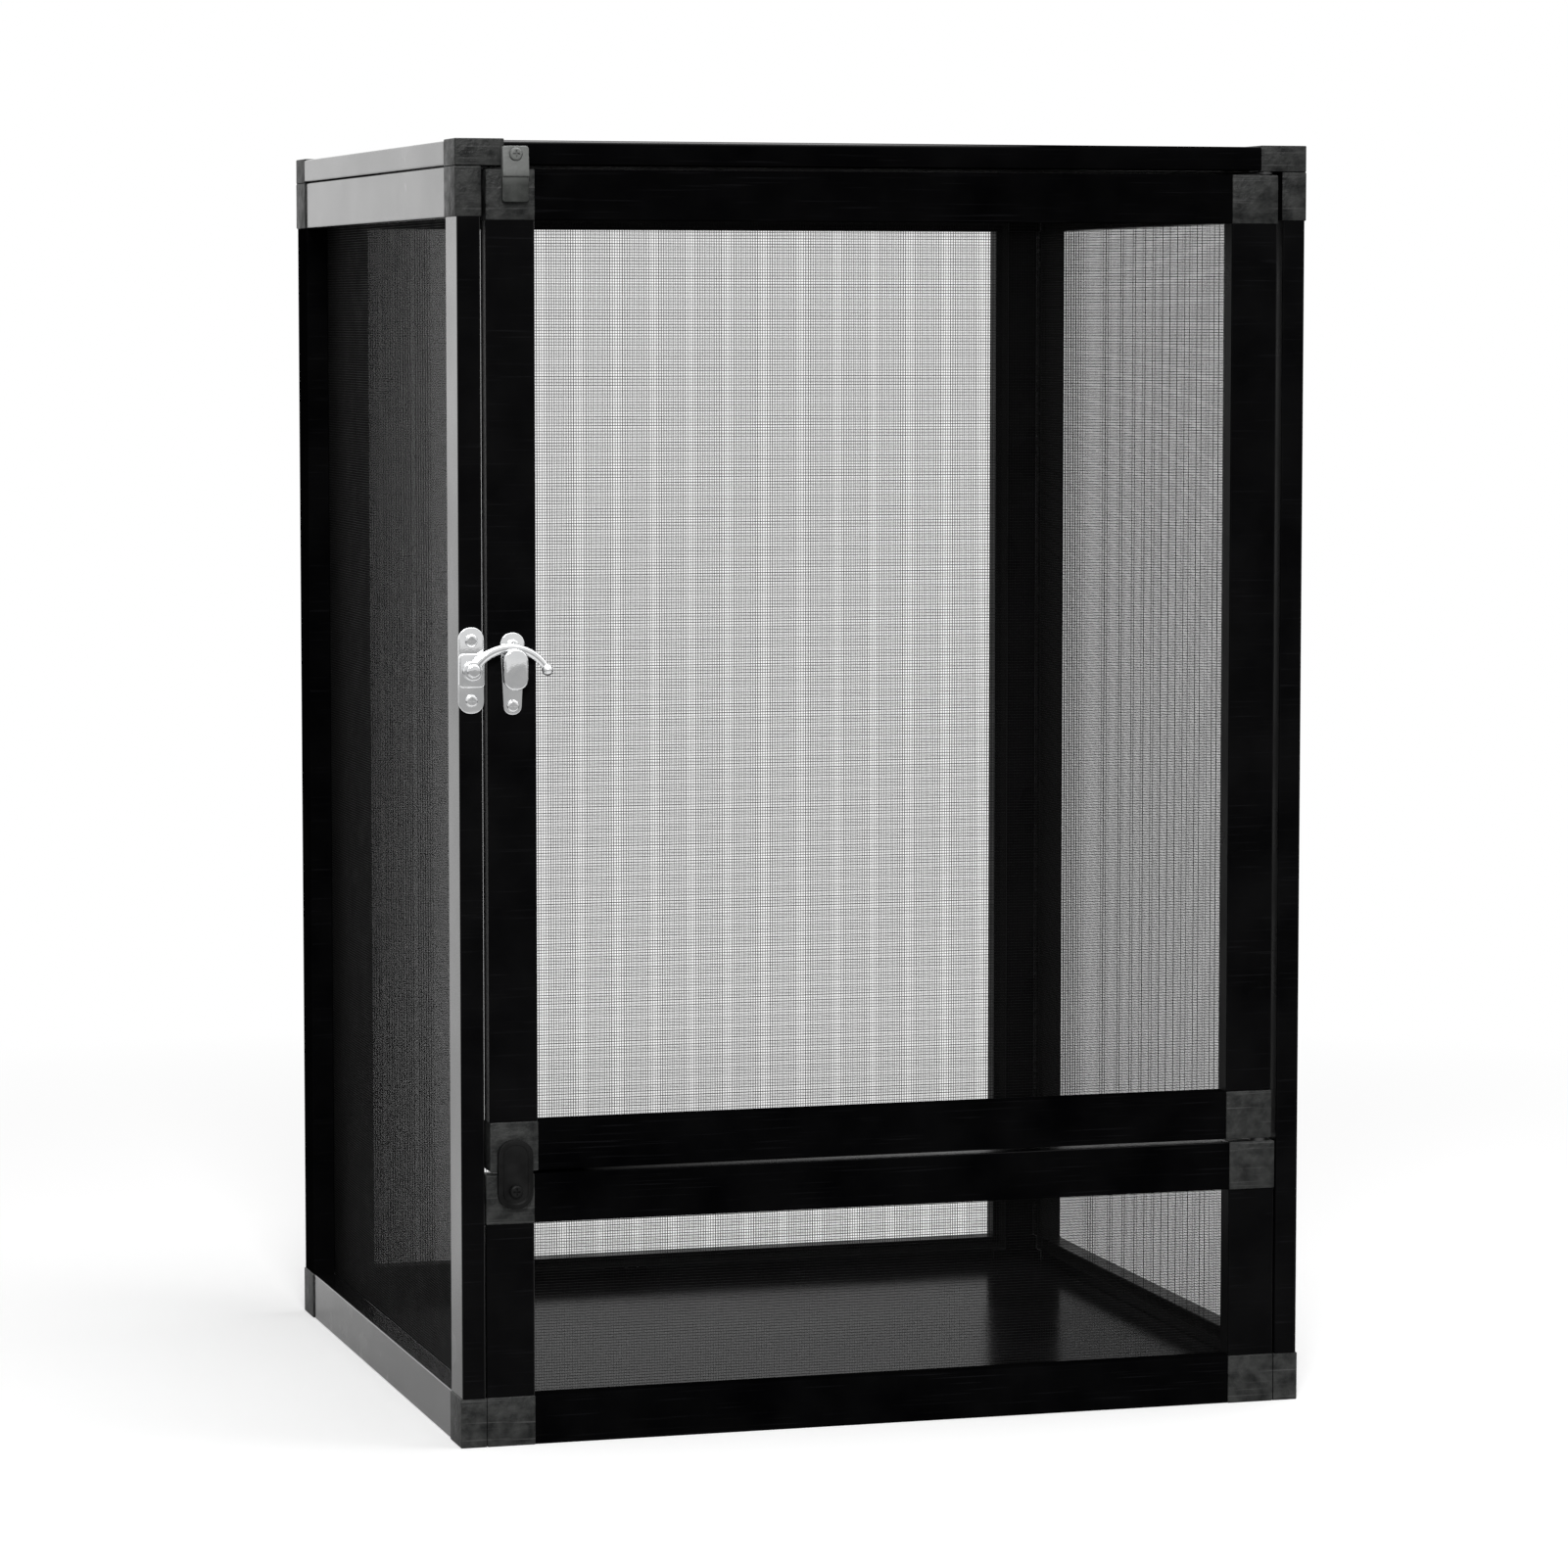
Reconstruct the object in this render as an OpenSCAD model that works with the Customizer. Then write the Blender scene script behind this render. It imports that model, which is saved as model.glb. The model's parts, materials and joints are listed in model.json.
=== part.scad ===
// Mesh reptile cage: six framed screen panels on a floor board, with a hinged door, a swinging hook latch
// and two turn buttons. The origin is on the ground, at the middle of the cage. The front faces -Y.

/* [Cage] */
// Width of the cage across the front
cage_w = 450; // [360:1:560]
// Depth of the cage from front to back
cage_d = 400; // [320:1:500]
// Height of the cage with its top panel
cage_h = 655; // [560:1:760]

/* [Frame extrusion] */
// Width of a rail, seen from outside
rail_w = 25; // [22:0.5:30]
// Thickness of a rail
frame_t = 12; // [10:0.5:15]
// Wall of the hollow extrusion
wall_t = 1.2; // [0.8:0.1:1.6]
// Radius of the extrusion's long edges
edge_r = 0.8; // [0.4:0.1:1.1]
// Width of the spline groove
groove_w = 3.5; // [3:0.1:4]
// Depth of the spline groove
groove_depth = 4; // [3:0.1:5]
// Lip between the groove and the opening
lip_w = 4; // [3:0.1:5]

/* [Corner blocks] */
// How far a block's faces stand proud of the rails
block_proud = 0.75; // [0.4:0.05:1.2]
// Radius of a block's outer corner
block_corner_r = 2.5; // [1:0.1:4]
// Length of the leg that goes into a hollow rail
key_len = 22; // [15:1:35]
// Clearance of a leg in its rail
key_gap = 0.2; // [0.1:0.05:0.4]

/* [Mesh and spline] */
// Least spacing of the net's wires
net_pitch = 27; // [26:1:40]
// Width of a wire
net_wire = 1.2; // [0.8:0.1:2]
// Thickness of the net
net_t = 0.6; // [0.4:0.05:0.7]
// Clearance of the spline in its groove
spline_gap = 0.15; // [0.1:0.05:0.3]

/* [Door and hinge] */
// Height of the fixed panel below the door
lower_h = 138; // [100:1:200]
// Gap at each side of the door
door_side_gap = 2; // [1.5:0.1:4]
// Gap below the door
door_low_gap = 1.6; // [1.2:0.1:6]
// Gap above the door
door_top_gap = 1.6; // [1.2:0.1:6]
// Hinge axis, from the door's right edge
hinge_inset = 6; // [5:0.1:8]
// Hinge axis, behind the cage's front face
hinge_setback = 4.2; // [3.5:0.1:4.6]
// Diameter of the hinge pins
pin_d = 4; // [3:0.1:4.5]
// Length of pin held in each block
pin_grip = 10; // [6:0.5:11]
// Radial clearance of the hinge pins
pin_gap = 0.05; // [0.02:0.01:0.1]
// Diameter of the hinge washers
washer_d = 8; // [6:0.5:9]
// Play between the upper washer and the door
washer_play = 0.5; // [0.3:0.1:1]

/* [Floor and pegs] */
// Thickness of the floor board, which lies on the ground
floor_t = 12; // [10:0.5:14]
// Clearance around the floor board
floor_gap = 0.2; // [0.1:0.05:0.6]
// Diameter of the pegs between panels
peg_d = 4; // [3:0.1:5]
// Length of a peg
peg_len = 14; // [10:0.5:16]
// Radial clearance of a peg
peg_gap = 0.05; // [0.02:0.01:0.1]
// Clearance at a peg's ends
peg_end_gap = 0.3; // [0.1:0.1:0.5]
// Distance of the floor's pegs from the front and back panels
floor_peg_inset = 6; // [4:0.5:8]

/* [Latch] */
// Height of the hook's pivot
latch_z = 392; // [300:1:480]
// Thickness of both latch plates
plate_t = 1.5; // [1:0.1:2]
// Width of the hook's plate
plate_w = 13; // [12:0.1:13.5]
// Distance between a plate's two screws
screw_pitch = 30; // [28:1:40]
// Height of the pivot boss
boss_h = 17; // [12:0.5:20]
// Thickness of the pivot boss
boss_t = 2; // [2:0.1:3]
// Radius of the hook's bow, at the middle of its bar
hook_r = 22; // [21:0.5:26]
// Half of the angle that the bow spans
hook_half_angle = 60; // [55:1:65]
// Width of the hook's bar at its middle
hook_bar = 4.4; // [3.6:0.1:5]
// Shift of the bow's inner edge towards the tip, which tapers the bar
hook_taper = 0.8; // [0:0.1:1.2]
// Thickness of the hook's bar
hook_t = 2.5; // [2:0.1:3]
// Diameter of the hook's eye
hook_eye_d = 10; // [8:0.5:11]
// Diameter of the ball at the hook's tip
hook_ball_d = 6; // [5:0.1:7]
// Diameter of the hook's rivet
rivet_d = 3; // [2.5:0.1:4]
// Diameter of the rivet's head
rivet_head_d = 7; // [6:0.1:8]
// Thickness of the rivet's head
rivet_head_t = 1.5; // [1:0.1:2]
// How far the keeper plate's middle lies below the hook's pivot
keeper_drop = 3; // [0:0.5:4]
// Diameter of the keeper plate's upper end
keeper_top_d = 13; // [10:0.5:14]
// Diameter of the keeper plate's lower end
keeper_low_d = 9; // [8:0.5:10]
// Diameter of the stud's neck
stud_neck_d = 8; // [6:0.5:9]
// Width of the stud's oval head
stud_head_w = 12.5; // [10:0.5:14]
// How far the oval head reaches below the neck
stud_head_drop = 8; // [4:0.5:9]
// Thickness of the stud's head
stud_head_t = 2; // [1.5:0.1:3]
// Diameter of the tail that fixes the stud in its plate
stud_tail_d = 3; // [2:0.1:4]
// Clearance between the hook and the parts it moves past
hook_gap = 0.4; // [0.3:0.05:0.8]

/* [Turn buttons] */
// Thickness of a turn button
button_t = 3; // [2:0.1:4]
// Width of the lower turn button
low_button_w = 18; // [14:0.5:20]
// Distance between the centres of the lower button's round ends
low_button_reach = 17; // [16:0.5:20]
// Lower pivot, below the lower panel's top edge
low_button_drop = 8; // [7:0.5:9]
// Lower pivot, from the cage's left face
low_button_inset = 28; // [26:0.5:30]
// Width of the upper turn button
top_button_w = 13.4; // [11:0.1:13.5]
// How far the upper button reaches above its pivot
top_button_head = 4; // [3.5:0.1:5]
// Length of the upper button's arm below its pivot
top_button_arm = 23.5; // [20:0.5:30]
// Corner radius of the upper button
top_button_r = 1.5; // [0.5:0.1:3]
// Height of the sloped grip on the upper button
grip_h = 15; // [12:0.5:18]
// Thickness of the grip's lower end
grip_t = 4.4; // [4.2:0.1:5]
// Upper pivot, below the middle of the top panel's edge
top_button_drop = 1; // [0:0.1:1.6]
// Upper pivot, from the cage's left face
top_button_inset = 30; // [28:0.5:32]
// Clearance of a turn button in front of the panels
button_gap = 0.3; // [0.2:0.05:0.5]

/* [Screws] */
// Diameter of the screws' shanks
screw_d = 3; // [2.5:0.1:3.5]
// Length of the shanks behind the panels' faces
screw_len = 8; // [5:0.5:9]
// Diameter of the screws' heads
screw_head_d = 6.4; // [5.5:0.1:7]
// Diameter of the flat on a screw's head
screw_flat_d = 4.4; // [3.6:0.1:5]
// Height of the screws' heads
screw_head_t = 1.6; // [1:0.1:1.8]
// Radial clearance of a screw or rivet in its hole
screw_gap = 0.05; // [0.02:0.01:0.1]

/* [Hidden] */
$fn = 64;
// How far a cut runs past the face that it opens
cut = 1;
// How far a joined shape runs into its neighbour
bite = 2;

block_t = frame_t + 2 * block_proud;
wall_h = cage_h - block_t;
inner_w = cage_w - 2 * block_t;
groove_u = rail_w - lip_w - groove_w;
key_cavity_w = groove_u - 2 * wall_t;
net_inset = groove_u + groove_w / 2;

side_size = [cage_d, wall_h];
back_size = [inner_w, wall_h];
top_size = [cage_w, cage_d];
lower_size = [inner_w, lower_h];
door_z = lower_h + door_low_gap;
door_size = [inner_w - 2 * door_side_gap, wall_h - door_z - door_top_gap];
door_top = door_z + door_size[1];

front_y = -cage_d / 2;
left_x = -cage_w / 2;
hinge_x = door_size[0] / 2 - hinge_inset;
hinge_y = front_y + hinge_setback;

floor_size = [inner_w - 2 * floor_gap, cage_d - 2 * block_t - 2 * floor_gap];
floor_peg_y = cage_d / 2 - block_t - floor_gap - floor_peg_inset;
panel_peg_y = cage_d / 2 - block_t / 2;

// The hook's pivot is on the left post, and its bow's centre is down and to the right of it
pivot_x = left_x + block_t / 2;
bow_x = pivot_x + hook_r * sin(hook_half_angle);
bow_z = latch_z - hook_r * cos(hook_half_angle);
hook_back_y = front_y - plate_t - boss_t - hook_gap;
hook_front_y = hook_back_y - hook_t;
// The stud stands on the door's latch stile and touches the bow's inner edge but for the clearance
keeper_x = -door_size[0] / 2 + rail_w / 2;
keeper_y = front_y + block_proud;
stud_reach = hook_r - hook_bar / 2 - stud_neck_d / 2 - hook_gap;
stud_z = bow_z + sqrt(pow(stud_reach, 2) - pow(keeper_x - bow_x - hook_taper, 2));

button_y = front_y - button_gap;
low_pivot = [left_x + low_button_inset, lower_h - low_button_drop];
top_pivot = [left_x + top_button_inset, cage_h - block_t / 2 - top_button_drop];

frame_black = "#121214";
block_grey = "#2b2c2c";
mesh_grey = "#3a3b3d";
spline_black = "#0b0b0b";
board_black = "#18181a";
chrome = "#c9ccd0";
pin_steel = "#9a9da1";
washer_white = "#d8d8d4";

// Where each panel stands. A panel is drawn flat, with its outer face at z = 0 and its inside above.
module on_left() {
    translate([left_x, front_y, 0]) rotate([90, 0, 90]) children();
}

module on_right() {
    mirror([1, 0, 0]) on_left() children();
}

module on_back() {
    translate([-inner_w / 2, cage_d / 2, 0]) rotate([90, 0, 0]) children();
}

module on_top() {
    translate([left_x, front_y, cage_h]) mirror([0, 0, 1]) children();
}

module on_front(x, z) {
    mirror([0, 1, 0]) translate([x, cage_d / 2, z]) rotate([90, 0, 0]) children();
}

module on_lower() {
    on_front(-inner_w / 2, 0) children();
}

module on_door() {
    on_front(-door_size[0] / 2, door_z) children();
}

// Framed panel

module rounded_rectangle(size, r) {
    translate([r, 0]) square([size[0] - 2 * r, size[1]]);
    translate([0, r]) square([size[0], size[1] - 2 * r]);
    for (x = [r, size[0] - r], y = [r, size[1] - r]) translate([x, y]) circle(r);
}

// Section of a rail: a hollow for the corner key, and a spline groove open to the inside
module rail_section() {
    difference() {
        rounded_rectangle([rail_w, frame_t], edge_r);
        translate([wall_t, wall_t]) square([key_cavity_w, frame_t - 2 * wall_t]);
        translate([groove_u, frame_t - groove_depth]) square([groove_w, groove_depth + cut]);
    }
}

module rail(panel_length) {
    translate([rail_w, 0, block_proud]) rotate([90, 0, 90])
        linear_extrude(panel_length - 2 * rail_w) rail_section();
}

module low_rail(size) {
    rail(size[0]);
}

module high_rail(size) {
    translate([0, size[1], 0]) mirror([0, 1, 0]) rail(size[0]);
}

module near_stile(size) {
    mirror([1, -1, 0]) rail(size[1]);
}

module far_stile(size) {
    translate([size[0], 0, 0]) mirror([1, 0, 0]) near_stile(size);
}

module key_leg() {
    leg_w = key_cavity_w - 2 * key_gap;
    leg_t = frame_t - 2 * wall_t - 2 * key_gap;
    leg_edge = wall_t + key_gap;
    translate([rail_w - bite, leg_edge, block_proud + leg_edge]) cube([key_len + bite, leg_w, leg_t]);
}

// Head of a corner block, with its outer corner rounded
module block_head() {
    linear_extrude(block_t) union() {
        translate([block_corner_r, 0]) square([rail_w - block_corner_r, rail_w]);
        translate([0, block_corner_r]) square([rail_w, rail_w - block_corner_r]);
        translate([block_corner_r, block_corner_r]) circle(block_corner_r);
    }
}

// Inside of a head: the groove turns the corner, and the lip within it lies level with the rails
module block_recess() {
    lip_u = groove_u + groove_w;
    inner_z = block_proud + frame_t;
    translate([groove_u, groove_u, inner_z]) cube([rail_w, rail_w, block_proud + cut]);
    translate([0, 0, inner_z - groove_depth]) linear_extrude(groove_depth + cut) difference() {
        translate([groove_u, groove_u]) square(rail_w);
        translate([lip_u, lip_u]) square(rail_w);
    }
}

module corner_block() {
    difference() {
        block_head();
        block_recess();
    }
    key_leg();
    mirror([1, -1, 0]) key_leg();
}

module corner_blocks(size) {
    for (right = [0, 1], high = [0, 1]) {
        translate([right * size[0], high * size[1], 0]) mirror([right, 0, 0]) mirror([0, high, 0]) corner_block();
    }
}

// Flat net: as many equal gaps as the wanted pitch allows, with a border that reaches over the groove
module net(size) {
    opening = [size[0] - 2 * rail_w, size[1] - 2 * rail_w];
    count = [floor(opening[0] / net_pitch), floor(opening[1] / net_pitch)];
    pitch = [opening[0] / count[0], opening[1] / count[1]];
    translate([0, 0, block_proud + frame_t]) linear_extrude(net_t) difference() {
        translate([net_inset, net_inset]) square([size[0] - 2 * net_inset, size[1] - 2 * net_inset]);
        for (column = [0 : count[0] - 1], row = [0 : count[1] - 1]) {
            translate([rail_w + column * pitch[0] + net_wire / 2, rail_w + row * pitch[1] + net_wire / 2])
                square([pitch[0] - net_wire, pitch[1] - net_wire]);
        }
    }
}

module spline_loop(size) {
    outer = groove_u + spline_gap;
    inner = groove_u + groove_w - spline_gap;
    translate([0, 0, block_proud + frame_t - groove_depth + spline_gap])
        linear_extrude(groove_depth - 2 * spline_gap) difference() {
            translate([outer, outer]) square([size[0] - 2 * outer, size[1] - 2 * outer]);
            translate([inner, inner]) square([size[0] - 2 * inner, size[1] - 2 * inner]);
        }
}

// Pegs, pins and screws, each with the same places for its piece and its hole

module peg_set(length, d) {
    side_places = [
        [panel_peg_y, rail_w / 2], [panel_peg_y, wall_h - rail_w / 2],
        [-panel_peg_y, rail_w / 2], [-panel_peg_y, lower_h - rail_w / 2],
        [floor_peg_y, floor_t / 2], [-floor_peg_y, floor_t / 2]
    ];
    for (x = [-inner_w / 2, inner_w / 2], place = side_places) {
        translate([x, place[0], place[1]]) rotate([0, 90, 0]) cylinder(h = length, d = d, center = true);
    }
    for (x = [-1, 1], y = [-1, 1]) {
        translate([x * (cage_w - block_t) / 2, y * (cage_d - rail_w) / 2, wall_h])
            cylinder(h = length, d = d, center = true);
    }
}

module peg_holes() {
    peg_set(peg_len + 2 * peg_end_gap, peg_d + 2 * peg_gap);
}

module hinge_pin_set(d, end_gap) {
    for (gap = [[lower_h, door_low_gap], [door_top, door_top_gap]]) {
        translate([hinge_x, hinge_y, gap[0] - pin_grip - end_gap])
            cylinder(h = gap[1] + 2 * pin_grip + 2 * end_gap, d = d);
    }
}

module hinge_holes() {
    hinge_pin_set(pin_d + 2 * pin_gap, peg_end_gap);
}

// Puts a shape drawn in width and height at depth y, and thickens it towards the front
module forward(y, thickness) {
    translate([0, y, 0]) rotate([90, 0, 0]) linear_extrude(thickness) children();
}

// Round hole or shank along Y, from depth y towards the back
module shank(place, y, length, d) {
    forward(y + length, length) translate(place) circle(d / 2);
}

// Pan-head screw whose head sits at depth seat_y and whose shank ends screw_len behind face_y
module screw(place, seat_y, face_y) {
    shank(place, seat_y - bite / 2, face_y + screw_len - seat_y + bite / 2, screw_d);
    translate([place[0], seat_y, place[1]]) rotate([90, 0, 0])
        cylinder(h = screw_head_t, d1 = screw_head_d, d2 = screw_flat_d);
}

module screw_hole(place, face_y) {
    shank(place, face_y - cut, screw_len + cut + peg_end_gap, screw_d + 2 * screw_gap);
}

hook_screws = [for (side = [-1, 1]) [pivot_x, latch_z + side * screw_pitch / 2]];
keeper_screws_at = [for (side = [-1, 1]) [keeper_x, latch_z - keeper_drop + side * screw_pitch / 2]];

// Left side panel

module left_front_stile() {
    color(frame_black) difference() {
        on_left() near_stile(side_size);
        peg_holes();
        for (place = hook_screws) screw_hole(place, front_y);
    }
}

module left_rear_stile() {
    color(frame_black) on_left() far_stile(side_size);
}

module left_top_rail() {
    color(frame_black) on_left() high_rail(side_size);
}

module left_bottom_rail() {
    color(frame_black) on_left() low_rail(side_size);
}

module left_corner_blocks() {
    color(block_grey) difference() {
        on_left() corner_blocks(side_size);
        peg_holes();
    }
}

module left_mesh() {
    color(mesh_grey) on_left() net(side_size);
}

module left_spline() {
    color(spline_black) on_left() spline_loop(side_size);
}

// Right side panel

module right_front_stile() {
    color(frame_black) difference() {
        on_right() near_stile(side_size);
        peg_holes();
    }
}

module right_rear_stile() {
    color(frame_black) on_right() far_stile(side_size);
}

module right_top_rail() {
    color(frame_black) on_right() high_rail(side_size);
}

module right_bottom_rail() {
    color(frame_black) on_right() low_rail(side_size);
}

module right_corner_blocks() {
    color(block_grey) difference() {
        on_right() corner_blocks(side_size);
        peg_holes();
    }
}

module right_mesh() {
    color(mesh_grey) on_right() net(side_size);
}

module right_spline() {
    color(spline_black) on_right() spline_loop(side_size);
}

// Back panel

module back_left_stile() {
    color(frame_black) on_back() near_stile(back_size);
}

module back_right_stile() {
    color(frame_black) on_back() far_stile(back_size);
}

module back_top_rail() {
    color(frame_black) on_back() high_rail(back_size);
}

module back_bottom_rail() {
    color(frame_black) on_back() low_rail(back_size);
}

module back_corner_blocks() {
    color(block_grey) difference() {
        on_back() corner_blocks(back_size);
        peg_holes();
    }
}

module back_mesh() {
    color(mesh_grey) on_back() net(back_size);
}

module back_spline() {
    color(spline_black) on_back() spline_loop(back_size);
}

// Top panel

module top_front_rail() {
    color(frame_black) difference() {
        on_top() low_rail(top_size);
        screw_hole(top_pivot, front_y);
    }
}

module top_rear_rail() {
    color(frame_black) on_top() high_rail(top_size);
}

module top_left_rail() {
    color(frame_black) on_top() near_stile(top_size);
}

module top_right_rail() {
    color(frame_black) on_top() far_stile(top_size);
}

module top_corner_blocks() {
    color(block_grey) difference() {
        on_top() corner_blocks(top_size);
        peg_holes();
        hinge_holes();
        screw_hole(top_pivot, front_y);
    }
}

module top_mesh() {
    color(mesh_grey) on_top() net(top_size);
}

module top_spline() {
    color(spline_black) on_top() spline_loop(top_size);
}

// Fixed panel below the door

module lower_left_stile() {
    color(frame_black) on_lower() near_stile(lower_size);
}

module lower_right_stile() {
    color(frame_black) on_lower() far_stile(lower_size);
}

module lower_top_rail() {
    color(frame_black) on_lower() high_rail(lower_size);
}

module lower_bottom_rail() {
    color(frame_black) on_lower() low_rail(lower_size);
}

module lower_corner_blocks() {
    color(block_grey) difference() {
        on_lower() corner_blocks(lower_size);
        peg_holes();
        hinge_holes();
        screw_hole(low_pivot, front_y);
    }
}

module lower_mesh() {
    color(mesh_grey) on_lower() net(lower_size);
}

module lower_spline() {
    color(spline_black) on_lower() spline_loop(lower_size);
}

// Door

module door_latch_stile() {
    color(frame_black) difference() {
        on_door() near_stile(door_size);
        for (place = keeper_screws_at) screw_hole(place, keeper_y);
    }
}

module door_hinge_stile() {
    color(frame_black) on_door() far_stile(door_size);
}

module door_top_rail() {
    color(frame_black) on_door() high_rail(door_size);
}

module door_bottom_rail() {
    color(frame_black) on_door() low_rail(door_size);
}

module door_corner_blocks() {
    color(block_grey) difference() {
        on_door() corner_blocks(door_size);
        hinge_holes();
    }
}

module door_mesh() {
    color(mesh_grey) on_door() net(door_size);
}

module door_spline() {
    color(spline_black) on_door() spline_loop(door_size);
}

// Floor, pegs and hinge

module floor_board() {
    color(board_black) difference() {
        translate([-floor_size[0] / 2, -floor_size[1] / 2, 0])
            cube([floor_size[0], floor_size[1], floor_t]);
        peg_holes();
    }
}

module assembly_pegs() {
    color(block_grey) peg_set(peg_len, peg_d);
}

module hinge_pins() {
    color(pin_steel) hinge_pin_set(pin_d, 0);
}

module hinge_washer(z, thickness) {
    translate([hinge_x, hinge_y, z]) difference() {
        cylinder(h = thickness, d = washer_d);
        translate([0, 0, -cut]) cylinder(h = thickness + 2 * cut, d = pin_d + 2 * pin_gap);
    }
}

module hinge_washers() {
    color(washer_white) {
        hinge_washer(lower_h, door_low_gap);
        hinge_washer(door_top + washer_play, door_top_gap - washer_play);
    }
}

// Latch

// Upright strip with round ends of two widths
module oblong(low, high, low_d, high_d) {
    translate(low) circle(low_d / 2);
    translate(high) circle(high_d / 2);
    polygon([
        [low[0] - low_d / 2, low[1]], [low[0] + low_d / 2, low[1]],
        [high[0] + high_d / 2, high[1]], [high[0] - high_d / 2, high[1]]
    ]);
}

module hook_plate() {
    rivet_length = plate_t + boss_t;
    color(chrome) difference() {
        union() {
            forward(front_y, plate_t) oblong(hook_screws[0], hook_screws[1], plate_w, plate_w);
            forward(front_y, plate_t + boss_t)
                translate([pivot_x - plate_w / 2, latch_z - boss_h / 2]) rounded_rectangle([plate_w, boss_h], bite);
        }
        for (place = hook_screws) screw_hole(place, front_y - plate_t);
        shank([pivot_x, latch_z], front_y - rivet_length - cut, rivet_length + 2 * cut, rivet_d + 2 * screw_gap);
    }
}

module hook_plate_screws() {
    color(chrome) for (place = hook_screws) screw(place, front_y - plate_t, front_y);
}

// Bow of the hook: a ring that thins towards the tip, cut to the angle between the pivot and the tip
module hook_bow() {
    reach = 2 * hook_r;
    intersection() {
        difference() {
            circle(hook_r + hook_bar / 2);
            translate([hook_taper, 0]) circle(hook_r - hook_bar / 2);
        }
        polygon([
            [0, 0], [-reach * sin(hook_half_angle), reach * cos(hook_half_angle)],
            [-reach, reach], [reach, reach], [reach * sin(hook_half_angle), reach * cos(hook_half_angle)]
        ]);
    }
}

module hook() {
    tip = [2 * bow_x - pivot_x, (hook_back_y + hook_front_y) / 2, latch_z];
    color(chrome) difference() {
        union() {
            forward(hook_back_y, hook_t) {
                translate([bow_x, bow_z]) hook_bow();
                translate([pivot_x, latch_z]) circle(hook_eye_d / 2);
            }
            translate(tip) sphere(d = hook_ball_d);
        }
        shank([pivot_x, latch_z], hook_front_y - cut, hook_t + 2 * cut, rivet_d + 2 * screw_gap);
    }
}

module hook_rivet() {
    head_y = hook_front_y - hook_gap;
    color(chrome) {
        shank([pivot_x, latch_z], head_y - rivet_head_t / 2, front_y - head_y + rivet_head_t / 2, rivet_d);
        forward(head_y, rivet_head_t) translate([pivot_x, latch_z]) circle(rivet_head_d / 2);
    }
}

module keeper_plate() {
    color(chrome) difference() {
        forward(keeper_y, plate_t) oblong(keeper_screws_at[0], keeper_screws_at[1], keeper_low_d, keeper_top_d);
        for (place = keeper_screws_at) screw_hole(place, keeper_y - plate_t);
        shank([keeper_x, stud_z], keeper_y - plate_t - cut, plate_t + 2 * cut, stud_tail_d + 2 * screw_gap);
    }
}

module keeper_stud() {
    plate_y = keeper_y - plate_t;
    head_y = hook_front_y - hook_gap;
    neck = [keeper_x, stud_z];
    color(chrome) {
        shank(neck, plate_y - cut, plate_t + cut, stud_tail_d);
        shank(neck, head_y - stud_head_t / 2, plate_y - head_y + stud_head_t / 2, stud_neck_d);
        forward(head_y, stud_head_t)
            oblong([keeper_x, stud_z - stud_head_drop], neck, stud_head_w, stud_head_w);
    }
}

module keeper_screws() {
    color(chrome) for (place = keeper_screws_at) screw(place, keeper_y - plate_t, keeper_y);
}

// Turn buttons

module button_hole(pivot) {
    shank(pivot, button_y - button_t - cut, button_t + 2 * cut, screw_d + 2 * screw_gap);
}

module button_screw(pivot) {
    screw(pivot, button_y - button_gap - button_t, front_y);
}

// Flat arm over the door and a grip that slopes outwards above it, seen from the side
module top_button_profile(low_z, high_z) {
    grip_z = high_z - grip_h;
    polygon([
        [cut, low_z - cut], [cut, high_z + cut], [-button_t, high_z + cut], [-button_t, high_z],
        [-grip_t, grip_z], [-button_t, grip_z], [-button_t, low_z - cut]
    ]);
}

module top_turn_button() {
    low_z = top_pivot[1] - top_button_arm;
    high_z = top_pivot[1] + top_button_head;
    side_x = top_pivot[0] - top_button_w / 2;
    head_d = screw_head_d + 2 * button_gap;
    color(block_grey) difference() {
        intersection() {
            forward(button_y, grip_t + cut) translate([side_x, low_z])
                rounded_rectangle([top_button_w, high_z - low_z], top_button_r);
            translate([side_x - cut, button_y, 0]) rotate([90, 0, 90]) linear_extrude(top_button_w + 2 * cut)
                top_button_profile(low_z, high_z);
        }
        button_hole(top_pivot);
        forward(button_y - button_t, grip_t) translate(top_pivot) circle(head_d / 2);
    }
}

module top_button_screw() {
    color(pin_steel) button_screw(top_pivot);
}

module lower_turn_button() {
    high_end = [low_pivot[0], low_pivot[1] + low_button_reach];
    color(block_grey) difference() {
        forward(button_y, button_t) oblong(low_pivot, high_end, low_button_w, low_button_w);
        button_hole(low_pivot);
    }
}

module lower_button_screw() {
    color(pin_steel) button_screw(low_pivot);
}

left_front_stile();
left_rear_stile();
left_top_rail();
left_bottom_rail();
left_corner_blocks();
left_mesh();
left_spline();
right_front_stile();
right_rear_stile();
right_top_rail();
right_bottom_rail();
right_corner_blocks();
right_mesh();
right_spline();
back_left_stile();
back_right_stile();
back_top_rail();
back_bottom_rail();
back_corner_blocks();
back_mesh();
back_spline();
top_front_rail();
top_rear_rail();
top_left_rail();
top_right_rail();
top_corner_blocks();
top_mesh();
top_spline();
lower_left_stile();
lower_right_stile();
lower_top_rail();
lower_bottom_rail();
lower_corner_blocks();
lower_mesh();
lower_spline();
door_latch_stile();
door_hinge_stile();
door_top_rail();
door_bottom_rail();
door_corner_blocks();
door_mesh();
door_spline();
floor_board();
assembly_pegs();
hinge_pins();
hinge_washers();
hook_plate();
hook_plate_screws();
hook();
hook_rivet();
keeper_plate();
keeper_stud();
keeper_screws();
top_turn_button();
top_button_screw();
lower_turn_button();
lower_button_screw();
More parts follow.
